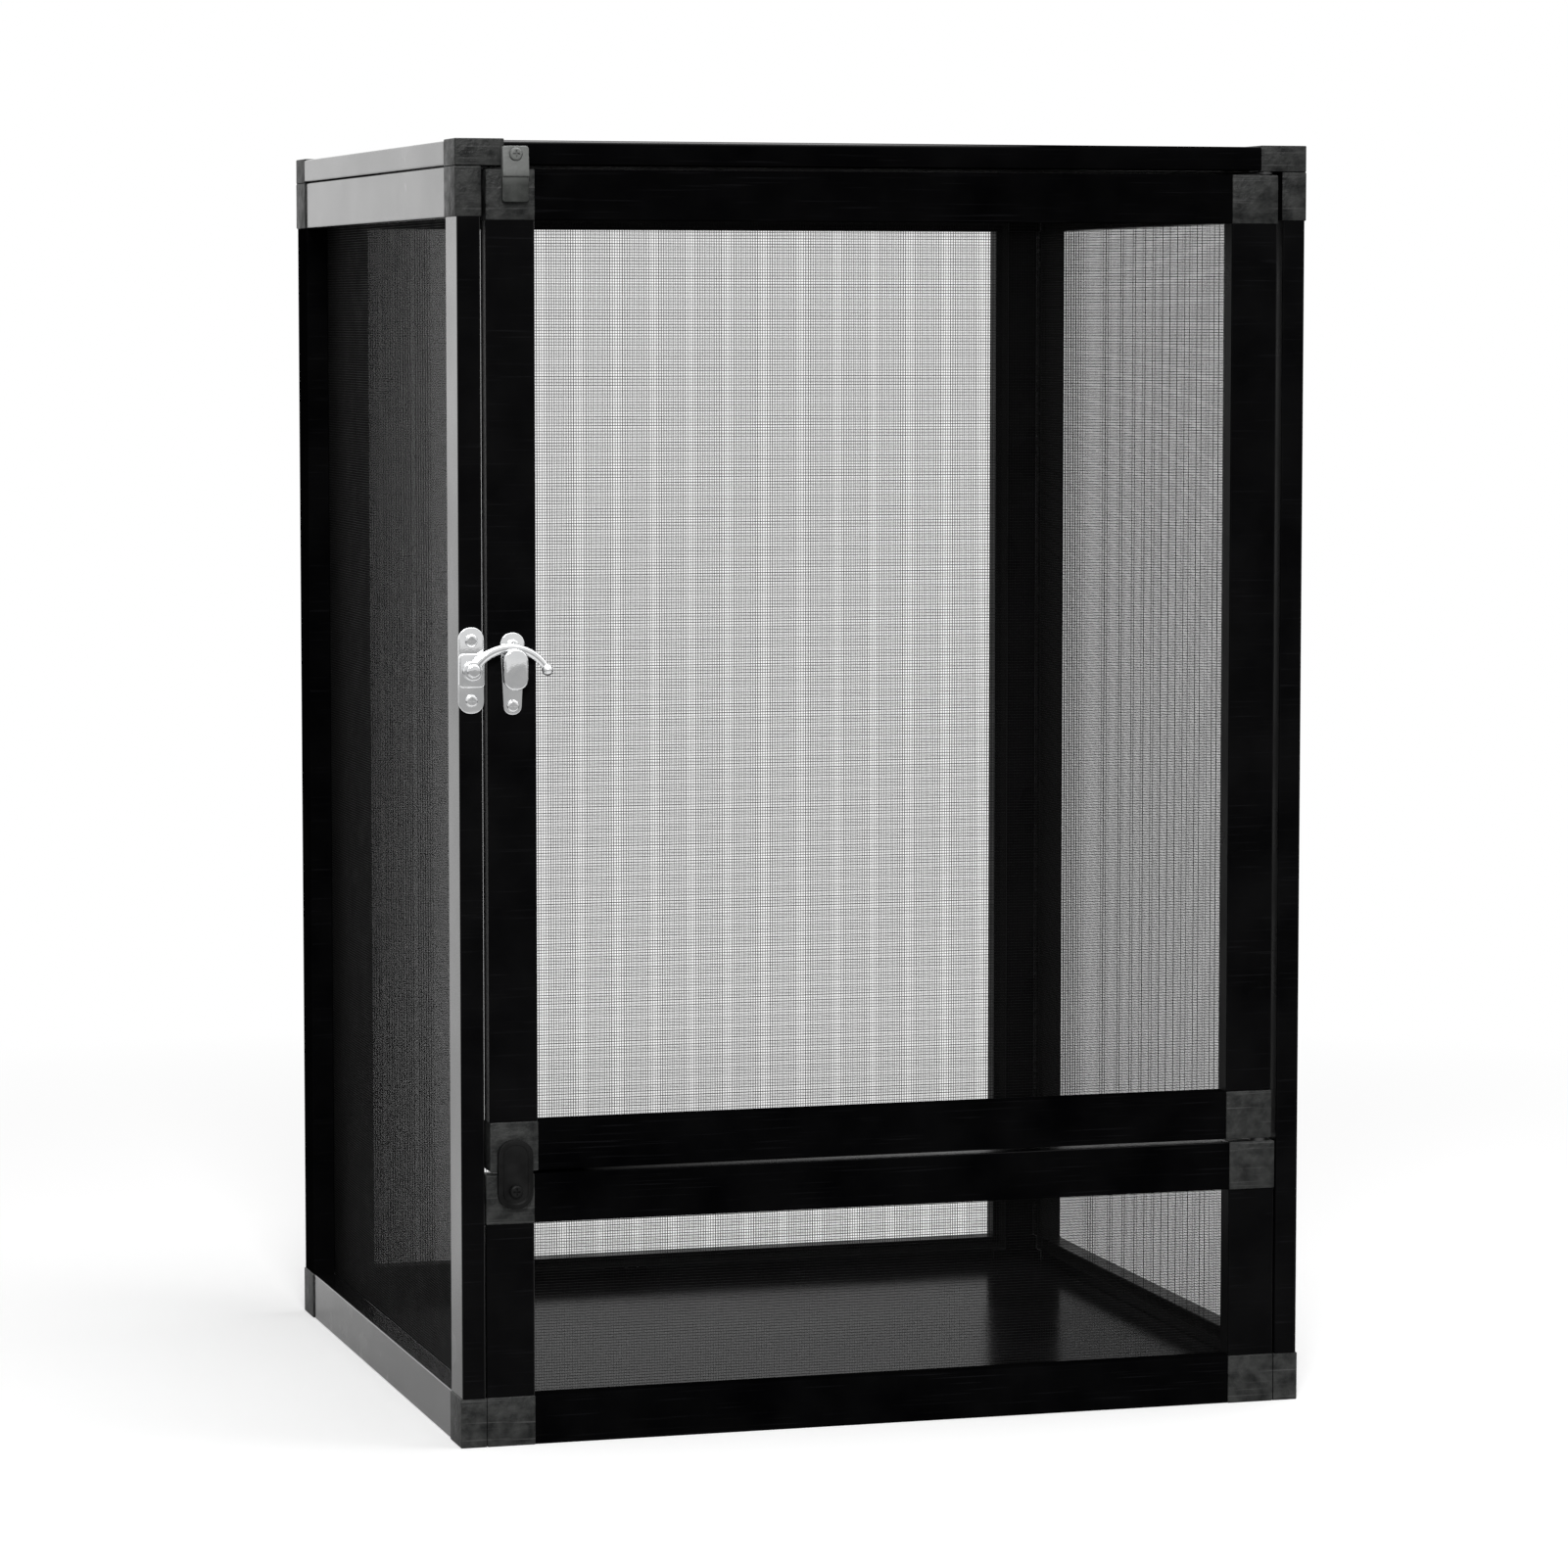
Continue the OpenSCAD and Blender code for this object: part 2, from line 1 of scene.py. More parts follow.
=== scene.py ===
import json
import math
import bmesh
import bpy
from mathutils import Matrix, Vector


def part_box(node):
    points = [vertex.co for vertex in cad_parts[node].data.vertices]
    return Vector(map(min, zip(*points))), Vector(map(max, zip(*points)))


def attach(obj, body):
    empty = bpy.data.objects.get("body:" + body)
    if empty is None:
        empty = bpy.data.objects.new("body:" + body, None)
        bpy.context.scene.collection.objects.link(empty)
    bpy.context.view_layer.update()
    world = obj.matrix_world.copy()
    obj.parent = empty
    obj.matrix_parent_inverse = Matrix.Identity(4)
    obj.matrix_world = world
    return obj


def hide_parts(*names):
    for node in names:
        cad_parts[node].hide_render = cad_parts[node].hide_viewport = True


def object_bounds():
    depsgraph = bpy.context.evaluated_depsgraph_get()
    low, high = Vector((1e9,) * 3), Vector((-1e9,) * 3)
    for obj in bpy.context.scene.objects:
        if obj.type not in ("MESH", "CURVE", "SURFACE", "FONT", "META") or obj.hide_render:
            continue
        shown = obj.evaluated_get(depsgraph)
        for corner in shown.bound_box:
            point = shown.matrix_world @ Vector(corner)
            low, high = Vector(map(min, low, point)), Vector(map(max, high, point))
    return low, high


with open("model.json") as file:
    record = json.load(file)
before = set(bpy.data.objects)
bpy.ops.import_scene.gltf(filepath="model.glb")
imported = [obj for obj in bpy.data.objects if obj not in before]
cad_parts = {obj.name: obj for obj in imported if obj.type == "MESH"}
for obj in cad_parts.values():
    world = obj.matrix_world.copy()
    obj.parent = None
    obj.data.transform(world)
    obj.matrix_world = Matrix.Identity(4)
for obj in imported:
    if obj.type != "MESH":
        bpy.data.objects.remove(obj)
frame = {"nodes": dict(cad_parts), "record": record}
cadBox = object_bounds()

mm = 0.001
near = 1 * mm  # an edge this close to a face counts as on it
overshoot = 1 * mm  # how far a cutter stands out of what it cuts
sliver = 0.01 * mm  # left-overs of a cut are smaller than this
aligned = 0.99  # share of an axis in the direction of an edge that runs along it
crease = 35  # degrees: sharper edges are softened, or stay sharp in the shading
softSteps, cornerSteps, endSteps = 3, 5, 10  # segments of a softened edge, a corner, a half-round end
roundSides = 40  # sides of a round head
nodes = frame["nodes"]
panels = ["left", "right", "back", "top", "lower", "door"]
bodyOf = {panel: "door" if panel == "door" else "cage" for panel in panels}
print("frame loaded:", len(nodes), "nodes")


# small helpers for working by operator

def clearSelection():
    if bpy.context.mode != "OBJECT":
        bpy.ops.object.mode_set(mode="OBJECT")
    bpy.ops.object.select_all(action="DESELECT")


def makeActive(piece):
    clearSelection()
    piece.select_set(True)
    bpy.context.view_layer.objects.active = piece


def settle(piece, name):  # place and turn go into the mesh, so the object sits at the origin
    makeActive(piece)
    bpy.ops.object.transform_apply(location=True, rotation=True, scale=True)
    piece.name = name
    piece.data.name = name
    return piece


def applyModifier(piece, modifier):
    makeActive(piece)
    bpy.ops.object.modifier_apply(modifier=modifier.name)


def startBox(name, low, high):
    clearSelection()
    low, high = Vector(low), Vector(high)
    bpy.ops.mesh.primitive_cube_add(size=1, location=(low + high) / 2)
    bpy.ops.transform.resize(value=high - low)
    return settle(bpy.context.object, name)


def startRod(name, start, end, radius, sides):
    clearSelection()
    start, end = Vector(start), Vector(end)
    turn = Vector((0, 0, 1)).rotation_difference(end - start).to_euler()
    bpy.ops.mesh.primitive_cylinder_add(vertices=sides, radius=radius, depth=(end - start).length,
                                        location=(start + end) / 2, rotation=turn)
    return settle(bpy.context.object, name)


def joinPieces(pieces, name):
    clearSelection()
    for piece in pieces:
        piece.select_set(True)
    bpy.context.view_layer.objects.active = pieces[0]
    bpy.ops.object.join()
    return settle(bpy.context.object, name)


def runsAlong(direction, axis):
    return abs(direction[axis]) > aligned


def alongDepth(middle, direction):  # edges that run from front to back
    return runsAlong(direction, 1)


def bevelWhere(piece, test, width, segments):  # bevels the edges that test() picks
    makeActive(piece)
    bpy.ops.object.mode_set(mode="EDIT")
    bpy.ops.mesh.select_mode(type="EDGE")
    bpy.ops.mesh.select_all(action="DESELECT")
    work = bmesh.from_edit_mesh(piece.data)
    for edge in work.edges:
        a, b = edge.verts[0].co, edge.verts[1].co
        edge.select_set(test((a + b) / 2, (b - a).normalized()))
    bmesh.update_edit_mesh(piece.data)
    bpy.ops.mesh.bevel(offset=width, segments=segments, affect="EDGES", clamp_overlap=True)
    bpy.ops.object.mode_set(mode="OBJECT")


def smoothShade(piece, limit=crease):
    makeActive(piece)
    bpy.ops.object.shade_smooth_by_angle(angle=math.radians(limit))


def softenEdges(piece, width, segments=softSteps, limit=crease):
    bevel = piece.modifiers.new("soften", "BEVEL")
    bevel.width = width
    bevel.segments = segments
    bevel.limit_method = "ANGLE"
    bevel.angle_limit = math.radians(limit)
    applyModifier(piece, bevel)
    smoothShade(piece, limit)


def combine(piece, other, operation):
    boolean = piece.modifiers.new("combine", "BOOLEAN")
    boolean.operation = operation
    boolean.object = other
    boolean.solver = "EXACT"
    applyModifier(piece, boolean)
    bpy.data.objects.remove(other)


def cutWith(piece, cutter):
    combine(piece, cutter, "DIFFERENCE")


def cleanMesh(piece):  # slivers left by a cut or a union go
    makeActive(piece)
    bpy.ops.object.mode_set(mode="EDIT")
    bpy.ops.mesh.select_all(action="SELECT")
    bpy.ops.mesh.remove_doubles(threshold=sliver)
    bpy.ops.mesh.dissolve_degenerate(threshold=sliver)
    bpy.ops.object.mode_set(mode="OBJECT")


def fusePieces(pieces, name, limit=crease):  # overlapping shells become one closed shell
    for other in pieces[1:]:
        combine(pieces[0], other, "UNION")
    cleanMesh(pieces[0])
    smoothShade(pieces[0], limit)
    return settle(pieces[0], name)


def panelAxes(size):  # the thin axis of a flat panel, then its two long ones
    thin = min(range(3), key=lambda axis: size[axis])
    return [thin] + [axis for axis in range(3) if axis != thin]


def dress(piece, finish, body, node):
    piece.data.materials.clear()
    piece.data.materials.append(finishes[finish])
    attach(piece, body)
    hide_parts(node)


# shader nodes in short

def rampNode(tree, source, low, high, start, end):
    ramp = tree.nodes.new("ShaderNodeMapRange")
    ramp.inputs["From Min"].default_value = low
    ramp.inputs["From Max"].default_value = high
    ramp.inputs["To Min"].default_value = start
    ramp.inputs["To Max"].default_value = end
    tree.links.new(source, ramp.inputs["Value"])
    return ramp.outputs["Result"]


def mathNode(tree, operation, first, second):
    node = tree.nodes.new("ShaderNodeMath")
    node.operation = operation
    for socket, value in zip(node.inputs, (first, second)):
        if isinstance(value, float):
            socket.default_value = value
        else:
            tree.links.new(value, socket)
    return node.outputs[0]


def mixNode(tree, factor, first, second):  # each colour is three numbers or a socket
    mix = tree.nodes.new("ShaderNodeMix")
    mix.data_type = "RGBA"
    for label, colour in (("A", first), ("B", second)):
        if isinstance(colour, tuple):
            mix.inputs[label].default_value = (*colour, 1)
        else:
            tree.links.new(colour, mix.inputs[label])
    tree.links.new(factor, mix.inputs["Factor"])
    return mix.outputs["Result"]


def splitNode(tree, source):
    split = tree.nodes.new("ShaderNodeSeparateXYZ")
    tree.links.new(source, split.inputs["Vector"])
    return split.outputs


def objectPlace(tree):
    return tree.nodes.new("ShaderNodeTexCoord").outputs["Object"]


def mirrorRay(tree, light):  # 1 for a ray that a reflection or glass sends on
    return mathNode(tree, "MAXIMUM", light.outputs["Is Glossy Ray"], light.outputs["Is Transmission Ray"])


# shader groups that the finishes share

speckle = {"Blotch": 4.0, "Grain": 2.0, "middle": (0.34, 0.66)}  # detail of each, and where the noise mostly lies
scuffs = {
    "turns": ((0.3, 0.5, 0.9), (0.8, -0.4, 0.2)), "stretch": (20, 900, 900), "detail": 1.0,
    "peaks": (0.66, 0.78),  # only the noise's peaks show, so scuffs are sparse
}


def newGroup(name, inputs, outputs):
    group = bpy.data.node_groups.new(name, "ShaderNodeTree")
    for label, value in inputs:
        socket = group.interface.new_socket(label, in_out="INPUT", socket_type="NodeSocketFloat")
        socket.default_value = value
    for label in outputs:
        group.interface.new_socket(label, in_out="OUTPUT", socket_type="NodeSocketFloat")
    return group, group.nodes.new("NodeGroupInput"), group.nodes.new("NodeGroupOutput")


def makeSpeckleGroup():  # soft blotches and fine grain, for colour, gloss and bump
    group, inside, outside = newGroup("speckle", [("Blotch Size", 40.0), ("Grain Size", 900.0)],
                                      ["Blotch", "Grain"])
    place = objectPlace(group)
    for label in ("Blotch", "Grain"):
        noise = group.nodes.new("ShaderNodeTexNoise")
        noise.inputs["Detail"].default_value = speckle[label]
        group.links.new(place, noise.inputs["Vector"])
        group.links.new(inside.outputs[label + " Size"], noise.inputs["Scale"])
        wide = rampNode(group, noise.outputs["Fac"], *speckle["middle"], 0.0, 1.0)
        group.links.new(wide, outside.inputs[label])
    return group


def makeScuffGroup():  # sparse hairline scuffs in two directions
    group, inside, outside = newGroup("scuffs", [("Amount", 0.5)], ["Scuff"])
    place = objectPlace(group)
    masks = []
    for turn in scuffs["turns"]:
        mapping = group.nodes.new("ShaderNodeMapping")
        mapping.inputs["Rotation"].default_value = turn
        mapping.inputs["Scale"].default_value = scuffs["stretch"]
        noise = group.nodes.new("ShaderNodeTexNoise")
        noise.inputs["Scale"].default_value = 1.0  # the mapping sets the size
        noise.inputs["Detail"].default_value = scuffs["detail"]
        group.links.new(place, mapping.inputs["Vector"])
        group.links.new(mapping.outputs["Vector"], noise.inputs["Vector"])
        masks.append(rampNode(group, noise.outputs["Fac"], *scuffs["peaks"], 0.0, 1.0))
    both = mathNode(group, "MAXIMUM", *masks)
    group.links.new(mathNode(group, "MULTIPLY", both, inside.outputs["Amount"]), outside.inputs["Scuff"])
    return group


speckleGroup = makeSpeckleGroup()
scuffGroup = makeScuffGroup()


# finishes, each from a dictionary of values

glossRange = {"slant": (0.08, 1.0), "flat": (0.97, 0.99)}  # facing where the coat sets in, normal of a flat


def edgeCoat(tree, look):  # coat that shows only where the surface is seen at a slant
    facing = tree.nodes.new("ShaderNodeLayerWeight")
    facing.inputs["Blend"].default_value = look["edgeGloss"]
    gloss = rampNode(tree, facing.outputs["Facing"], *glossRange["slant"], 0.0, 1.0)
    if "glossSide" in look:  # and only on one side of the bar
        axis, none, full = look["glossSide"]
        side = splitNode(tree, tree.nodes.new("ShaderNodeNewGeometry").outputs["Normal"])
        gloss = mathNode(tree, "MULTIPLY", gloss, rampNode(tree, side[axis], none, full, 0.0, 1.0))
        if "glossSpan" in look:  # a rounded edge shines over part of its length, a flat by its own share
            along, most, least, peak, onFlat = look["glossSpan"]
            span = rampNode(tree, splitNode(tree, objectPlace(tree))[along], most, least, peak, 0.0)
            flat = rampNode(tree, side[axis], *glossRange["flat"], 0.0, onFlat)
            gloss = mathNode(tree, "MULTIPLY", gloss, mathNode(tree, "MAXIMUM", span, flat))
    return gloss


def makeFinish(name, look):
    material = bpy.data.materials.new(name)
    material.use_nodes = True
    tree = material.node_tree
    shader = tree.nodes["Principled BSDF"]
    shader.inputs["Metallic"].default_value = look.get("metallic", 0.0)
    shader.inputs["IOR"].default_value = look.get("ior", 1.5)
    shader.inputs["Specular IOR Level"].default_value = look.get("shine", 0.5)
    shader.inputs["Coat Roughness"].default_value = look.get("coatRough", 0.1)
    shader.inputs["Coat IOR"].default_value = look.get("coatIor", 1.5)
    if "edgeGloss" in look:
        tree.links.new(edgeCoat(tree, look), shader.inputs["Coat Weight"])

    spots = tree.nodes.new("ShaderNodeGroup")
    spots.node_tree = speckleGroup
    spots.inputs["Blotch Size"].default_value = look["blotchSize"]
    spots.inputs["Grain Size"].default_value = look["grainSize"]
    marks = tree.nodes.new("ShaderNodeGroup")
    marks.node_tree = scuffGroup
    marks.inputs["Amount"].default_value = look.get("scuff", 0.0)

    blotch = spots.outputs["Blotch"]
    base = mixNode(tree, blotch, look["dark"], look["light"])
    if "paintedHighlight" in look:  # painted highlight: lighter towards the top, for the overhead light that the upper grip catches
        bottom, top, highlightTone = look["paintedHighlight"]
        height = splitNode(tree, objectPlace(tree))["Z"]
        base = mixNode(tree, rampNode(tree, height, bottom, top, 0.0, 1.0), base, highlightTone)
    base = mixNode(tree, marks.outputs["Scuff"], base, look.get("scuffColour", look["light"]))
    tree.links.new(base, shader.inputs["Base Color"])
    tree.links.new(rampNode(tree, blotch, 0.0, 1.0, *look["rough"]), shader.inputs["Roughness"])

    bump = tree.nodes.new("ShaderNodeBump")
    bump.inputs["Strength"].default_value = look["bump"]
    bump.inputs["Distance"].default_value = look["bumpDepth"]
    tree.links.new(spots.outputs["Grain"], bump.inputs["Height"])
    tree.links.new(bump.outputs["Normal"], shader.inputs["Normal"])
    return material


blackPaint = {
    "dark": (0.001, 0.001, 0.0012), "light": (0.003, 0.003, 0.0032), "blotchSize": 25.0, "grainSize": 1500.0,
    "bump": 0.05, "bumpDepth": 0.0002, "scuff": 0.2, "scuffColour": (0.02, 0.02, 0.022),
}
satin = {**blackPaint, "rough": (0.26, 0.4), "ior": 1.1, "edgeGloss": 0.5, "coatIor": 2.4, "coatRough": 0.16}
dull = {**blackPaint, "rough": (0.4, 0.55), "shine": 0.0}
crown = {**dull, "edgeGloss": 0.6, "coatIor": 2.4, "coatRough": 0.2}

finishes = {  # the first ones are the black paint of bars that catch the light on different sides
    "frame": makeFinish("blackFrame", satin),
    "rightFrame": makeFinish("rightFrame", {**satin, "glossSide": ("X", 0.1, 0.5)}),
    "rearFrame": makeFinish("rearFrame", {**satin, "glossSide": ("Y", 0.1, 0.5)}),
    "dullFrame": makeFinish("dullFrame", dull),
    "cornerFrame": makeFinish("cornerFrame", {**crown, "glossSide": ("Y", 0.1, 0.5)}),
    "crownFrame": makeFinish("crownFrame", {
        **crown, "glossSide": ("Z", 0.1, 0.4), "glossSpan": ("X", -0.03, 0.08, 0.4, 1.0)}),
    "sillFrame": makeFinish("sillFrame", {
        **crown, "glossSide": ("Z", 0.1, 2.5), "glossSpan": ("X", 0.12, -0.16, 1.5, 0.0)}),
    "block": makeFinish("greyBlock", {
        "dark": (0.006, 0.0065, 0.0065), "light": (0.036, 0.037, 0.036), "rough": (0.4, 0.62), "ior": 1.28,
        "blotchSize": 130.0, "grainSize": 420.0, "bump": 0.35, "bumpDepth": 0.0006,
        "scuff": 0.5, "scuffColour": (0.09, 0.09, 0.09)}),
    "mesh": makeFinish("screenWire", {
        "dark": (0.001, 0.001, 0.001), "light": (0.003, 0.003, 0.003), "rough": (0.45, 0.6), "ior": 1.15,
        "blotchSize": 60.0, "grainSize": 3000.0, "bump": 0.05, "bumpDepth": 0.0001}),
    "spline": makeFinish("splineRubber", {
        "dark": (0.002, 0.002, 0.002), "light": (0.005, 0.005, 0.005), "rough": (0.6, 0.8), "ior": 1.15,
        "blotchSize": 80.0, "grainSize": 2500.0, "bump": 0.2, "bumpDepth": 0.0003}),
    "board": makeFinish("floorGloss", {
        "dark": (0.003, 0.003, 0.003), "light": (0.006, 0.006, 0.0065), "rough": (0.14, 0.18), "ior": 1.06,
        "blotchSize": 12.0, "grainSize": 700.0, "bump": 0.03, "bumpDepth": 0.0003,
        "scuff": 0.25, "scuffColour": (0.02, 0.02, 0.02)}),
    "chrome": makeFinish("latchChrome", {
        "dark": (0.82, 0.83, 0.84), "light": (0.93, 0.935, 0.94), "rough": (0.04, 0.11), "metallic": 1.0,
        "blotchSize": 90.0, "grainSize": 1200.0, "bump": 0.03, "bumpDepth": 0.0002}),
    "steel": makeFinish("darkScrew", {
        "dark": (0.018, 0.018, 0.019), "light": (0.05, 0.05, 0.052), "rough": (0.3, 0.45), "metallic": 0.7,
        "blotchSize": 160.0, "grainSize": 1500.0, "bump": 0.05, "bumpDepth": 0.0002}),
    "washer": makeFinish("blackNylon", {
        "dark": (0.012, 0.012, 0.012), "light": (0.03, 0.03, 0.03), "rough": (0.5, 0.65),
        "blotchSize": 150.0, "grainSize": 2500.0, "bump": 0.1, "bumpDepth": 0.0002}),
    "lowButton": makeFinish("blackButton", {
        "dark": (0.002, 0.002, 0.002), "light": (0.007, 0.007, 0.007), "rough": (0.35, 0.5), "ior": 1.2,
        "blotchSize": 120.0, "grainSize": 1800.0, "bump": 0.1, "bumpDepth": 0.0002}),
    "topButton": makeFinish("greyButton", {
        "dark": (0.03, 0.032, 0.03), "light": (0.055, 0.058, 0.055), "rough": (0.35, 0.5), "ior": 1.35,
        # painted highlight: above this height the grip's colour is lighter, for the light it catches
        "paintedHighlight": (0.632, 0.640, (0.15, 0.155, 0.15)),
        "blotchSize": 110.0, "grainSize": 600.0, "bump": 0.2, "bumpDepth": 0.0004}),
}

ownBars = {  # bars that take another finish than their slot's
    "sillFrame": ("lower_top_rail",),
    "cornerFrame": ("left_rear_stile",),
    "rightFrame": ("right_front_stile", "right_bottom_rail", "lower_right_stile", "door_hinge_stile"),
    "rearFrame": ("back_left_stile", "back_right_stile", "back_top_rail", "back_bottom_rail"),
    "dullFrame": ("lower_bottom_rail", "door_top_rail", "door_bottom_rail"),
}

finishOf = {part["node"]: part["material_slot"] for part in frame["record"]["subparts"]}
for finish, barNames in ownBars.items():
    finishOf.update({barName: finish for barName in barNames})
for nodeName, node in nodes.items():  # CAD nodes keep their shape and take a finish
    node.data.materials.clear()
    node.data.materials.append(finishes[finishOf[nodeName]])
print("finishes ready:", len(finishes))


# fine screen in each panel: two layers of straight wires across the net's own place

screen = {
    "heavy": {"pitch": 1.44 * mm, "wire": 0.305 * mm}, "light": {"pitch": 1.35 * mm, "wire": 0.144 * mm},
    "sides": 6, "heavyUpright": ("left", "right", "back"),  # nets cut with their heavy wires upright
}


def wireLayer(name, low, high, along, across, thin, depth, pitch, wire):
    count = int((high[across] - low[across]) / pitch)
    start = low.copy()
    start[across] = (low[across] + high[across] - (count - 1) * pitch) / 2
    start[thin] = depth
    end = start.copy()
    end[along] = high[along]
    layer = startRod(name, start, end, wire / 2, screen["sides"])
    rows = layer.modifiers.new("rows", "ARRAY")
    rows.count = count
    rows.use_relative_offset = False
    rows.use_constant_offset = True
    step = Vector((0, 0, 0))
    step[across] = pitch
    rows.constant_offset_displace = step
    applyModifier(layer, rows)
    return layer


def makeScreen(panel):
    netNode = panel + "_mesh"
    low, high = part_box(netNode)
    thin, first, second = panelAxes(high - low)
    middle = (low[thin] + high[thin]) / 2
    across, upright = screen["heavy"], screen["light"]
    if panel in screen["heavyUpright"]:
        across, upright = upright, across
    layers = [
        wireLayer(panel + "Across", low, high, first, second, thin, middle - across["wire"] / 2, **across),
        wireLayer(panel + "Upright", low, high, second, first, thin, middle + upright["wire"] / 2, **upright),
    ]
    dress(joinPieces(layers, panel + "_screen"), "mesh", bodyOf[panel], netNode)


for panel in panels:
    makeScreen(panel)
print("screens laid:", len(panels))


# moulded corner blocks with softened edges, on the places of the CAD blocks

block = {
    "cornerRadius": 0.9 * mm, "soft": 0.55 * mm, "proud": 0.75 * mm,  # proud: how far a block stands over its bars
    "groove": 17.5 * mm, "grooveEnd": 21 * mm, "grooveDepth": 4 * mm,  # spline groove, from the panel's edge
    "past": 26 * mm, "inner": 0.5,  # beyond the block's end, and the least inward normal of an inner face
}


def cutRecess(head, corner, inward, thin, first, second):  # on the inner face a lip drops and the groove turns
    deep = block["proud"] + block["grooveDepth"]
    for endFirst, endSecond, depth in ((block["past"], block["past"], block["proud"]),
                                       (block["grooveEnd"], block["past"], deep),
                                       (block["past"], block["grooveEnd"], deep)):
        start, end = corner.copy(), corner.copy()
        for axis, begin, reach in ((first, block["groove"], endFirst), (second, block["groove"], endSecond),
                                   (thin, -overshoot, depth)):
            start[axis] += inward[axis] * begin
            end[axis] += inward[axis] * reach
        low = [min(pair) for pair in zip(start, end)]
        high = [max(pair) for pair in zip(start, end)]
        cutWith(head, startBox("recess", low, high))


def makeBlocks(panel):
    blockNode = panel + "_corner_blocks"
    low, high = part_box(blockNode)
    thin, first, second = panelAxes(high - low)
    cageMiddle = (cadBox[0][thin] + cadBox[1][thin]) / 2
    innerIsHigh = (low[thin] + high[thin]) / 2 < cageMiddle
    stileLow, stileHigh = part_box("door_latch_stile")
    side = stileHigh.x - stileLow.x  # a block is as wide as the bars
    heads = []
    for atFirst in (0, 1):
        for atSecond in (0, 1):
            headLow, headHigh = low.copy(), high.copy()
            corner = Vector((0, 0, 0))
            for axis, far in ((first, atFirst), (second, atSecond)):
                headLow[axis] = high[axis] - side if far else low[axis]
                headHigh[axis] = high[axis] if far else low[axis] + side
                corner[axis] = high[axis] if far else low[axis]
            head = startBox("head", headLow, headHigh)

            def outerCorner(middle, direction):
                away = middle - corner
                away[thin] = 0
                return runsAlong(direction, thin) and away.length < near

            bevelWhere(head, outerCorner, block["cornerRadius"], cornerSteps)
            softenEdges(head, block["soft"])
            inward = Vector((0, 0, 0))
            inward[first], inward[second] = 1 - 2 * atFirst, 1 - 2 * atSecond
            inward[thin] = -1 if innerIsHigh else 1
            corner[thin] = high[thin] if innerIsHigh else low[thin]
            cutRecess(head, corner, inward, thin, first, second)
            cleanMesh(head)
            heads.append(head)
    piece = joinPieces(heads, panel + "_blocks")
    smoothShade(piece)
    dress(piece, "block", bodyOf[panel], blockNode)
    piece.data.materials.append(finishes["dullFrame"])  # painted shade: the inner faces, in the shade inside the cage, take the bars' black paint
    for face in piece.data.polygons:
        if face.normal[thin] * (1 if innerIsHigh else -1) > block["inner"]:
            face.material_index = 1


for panel in panels:
    makeBlocks(panel)
print("corner blocks moulded:", len(panels))


# the top panel's front bar, with the rounded crown that catches the light, and the right panel's top bar

bar = {"crown": 2.6 * mm, "soft": 0.8 * mm}


def makeTopBar():
    low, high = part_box("top_front_rail")
    piece = startBox("top_front_bar", low, high)

    def crownEdge(middle, direction):
        return runsAlong(direction, 0) and middle.y < low.y + near and middle.z > high.z - near

    def otherLongEdge(middle, direction):
        return runsAlong(direction, 0) and (middle.y > high.y - near or middle.z < low.z + near)

    bevelWhere(piece, crownEdge, bar["crown"], endSteps)
    bevelWhere(piece, otherLongEdge, bar["soft"], softSteps)
    cutWith(piece, startBox("barGroove", (low.x - overshoot, low.y + block["groove"], low.z - overshoot),
                            (high.x + overshoot, low.y + block["grooveEnd"], low.z + block["grooveDepth"])))
    smoothShade(piece)
    dress(piece, "crownFrame", "cage", "top_front_rail")


def makeSideBar():  # it closes up to the top panel's bar
    low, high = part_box("right_top_rail")
    edge = high.z
    high.z += block["proud"]
    piece = startBox("right_top_bar", low, high)
    bevelWhere(piece, alongDepth, bar["soft"], softSteps)
    cutWith(piece, startBox("barGroove", (low.x - overshoot, low.y - overshoot, edge - block["grooveEnd"]),
                            (low.x + block["grooveDepth"], high.y + overshoot, edge - block["groove"])))
    smoothShade(piece)
    dress(piece, "rightFrame", "cage", "right_top_rail")


makeTopBar()
makeSideBar()
print("top bars modelled")


# chromed latch: plate, hook and rivet on the post, keeper plate and stud on the door

latch = {
    "plateThick": 1.5 * mm, "bossHeight": 17 * mm, "bossCorner": 2 * mm, "bossSoft": 0.64 * mm,
    "bowRadius": 22 * mm, "bar": 4.4 * mm, "barThick": 2.5 * mm, "halfAngle": 60, "taper": 0.16,
    "bowSteps": 120, "barSides": 16, "hookCrease": 40,
    "eye": 10 * mm, "eyeSoft": 0.7 * mm, "ball": 6 * mm, "ballSides": 24, "ballRings": 16,
    "rivetHead": 1.5 * mm, "rivetDome": 1.1 * mm, "rivetShank": 3 * mm, "rivetSides": 20, "rivetLap": 0.3 * mm,
    "keeperLow": 9 * mm, "keeperCrease": 30,
    "neck": 8 * mm, "neckSides": 32, "neckLap": 0.5 * mm, "studHead": 2 * mm, "studSoft": 0.9 * mm,
    "soft": 0.4 * mm, "endShare": 0.46,  # radius of a half-round end, as a share of the plate's width
}


def roundedPlate(name, low, high, radius, soft):
    plate = startBox(name, low, high)
    bevelWhere(plate, alongDepth, radius, endSteps)
    softenEdges(plate, soft)
    return plate


def domedHead(name, place, frontY, backY, radius, dome):  # round head whose front edge is rolled over
    head = startRod(name, (place.x, backY, place.z), (place.x, frontY, place.z), radius, roundSides)

    def frontRim(middle, direction):
        return middle.y < frontY + near and not runsAlong(direction, 1)

    bevelWhere(head, frontRim, dome, cornerSteps)
    return head


